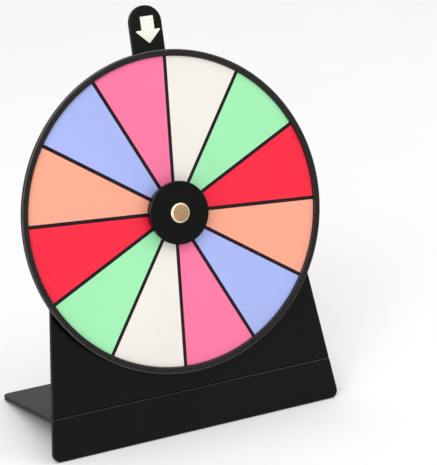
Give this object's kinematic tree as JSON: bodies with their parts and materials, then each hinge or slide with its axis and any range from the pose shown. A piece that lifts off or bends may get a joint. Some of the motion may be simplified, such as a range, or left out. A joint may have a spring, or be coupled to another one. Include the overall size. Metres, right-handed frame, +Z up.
{
  "type": "game spinner",
  "caption": "Tabletop prize spinner: a round wheel with coloured write-on sectors turns on a ball bearing before a leaning bent-sheet stand with an arrow pointer tab.",
  "frame": {"origin": "on the table, at the middle of the underside of the whole object's box", "axes": "+X to the player's right, -Y towards the player, +Z up; the wheel faces -Y and leans back"},
  "size_m": [0.2, 0.1102, 0.2602],
  "materials": {
    "black_sheet": "glossy black acrylic sheet",
    "disc_black": "glossy black acrylic sheet",
    "hub_black": "satin black moulded plastic",
    "cap_brass": "brushed brass",
    "screw_steel": "zinc-plated steel",
    "bearing_steel": "ground bearing steel",
    "bearing_cage": "natural nylon",
    "white_vinyl": "white vinyl",
    "film_cream": "glossy write-on vinyl",
    "film_green": "glossy write-on vinyl",
    "film_red": "glossy write-on vinyl",
    "film_peach": "glossy write-on vinyl",
    "film_blue": "glossy write-on vinyl",
    "film_pink": "glossy write-on vinyl"
  },
  "bodies": {
    "stand": {"back_panel": "black_sheet", "base_plate": "black_sheet", "base_screws": "screw_steel", "base_nuts": "screw_steel", "arrow_decal": "white_vinyl", "axle_bolt": "screw_steel", "axle_washer": "screw_steel", "axle_nut": "screw_steel", "bearing_spacer": "screw_steel", "bearing_inner_ring": "bearing_steel", "axle_cap": "cap_brass"},
    "wheel": {"wheel_disc": "disc_black", "sector_01_cream": "film_cream", "sector_02_green": "film_green", "sector_03_red": "film_red", "sector_04_peach": "film_peach", "sector_05_blue": "film_blue", "sector_06_pink": "film_pink", "sector_07_cream": "film_cream", "sector_08_green": "film_green", "sector_09_red": "film_red", "sector_10_peach": "film_peach", "sector_11_blue": "film_blue", "sector_12_pink": "film_pink", "hub": "hub_black", "bearing_outer_ring": "bearing_steel", "bearing_shields": "bearing_steel"},
    "ball_set": {"bearing_balls": "bearing_steel", "bearing_cage": "bearing_cage"}
  },
  "joints": [
    {"name": "wheel_spin", "type": "hinge", "parent": "stand", "child": "wheel", "pos_m": [0, -0.03056, 0.13691], "axis": [0, -0.9752, 0.2213], "continuous": true},
    {"name": "ball_set_turn", "type": "hinge", "parent": "stand", "child": "ball_set", "pos_m": [0, -0.03056, 0.13691], "axis": [0, -0.9752, 0.2213], "continuous": true}
  ],
  "couplings": [
    {"joint": "ball_set_turn", "follows": "wheel_spin", "ratio": 0.6442}
  ]
}
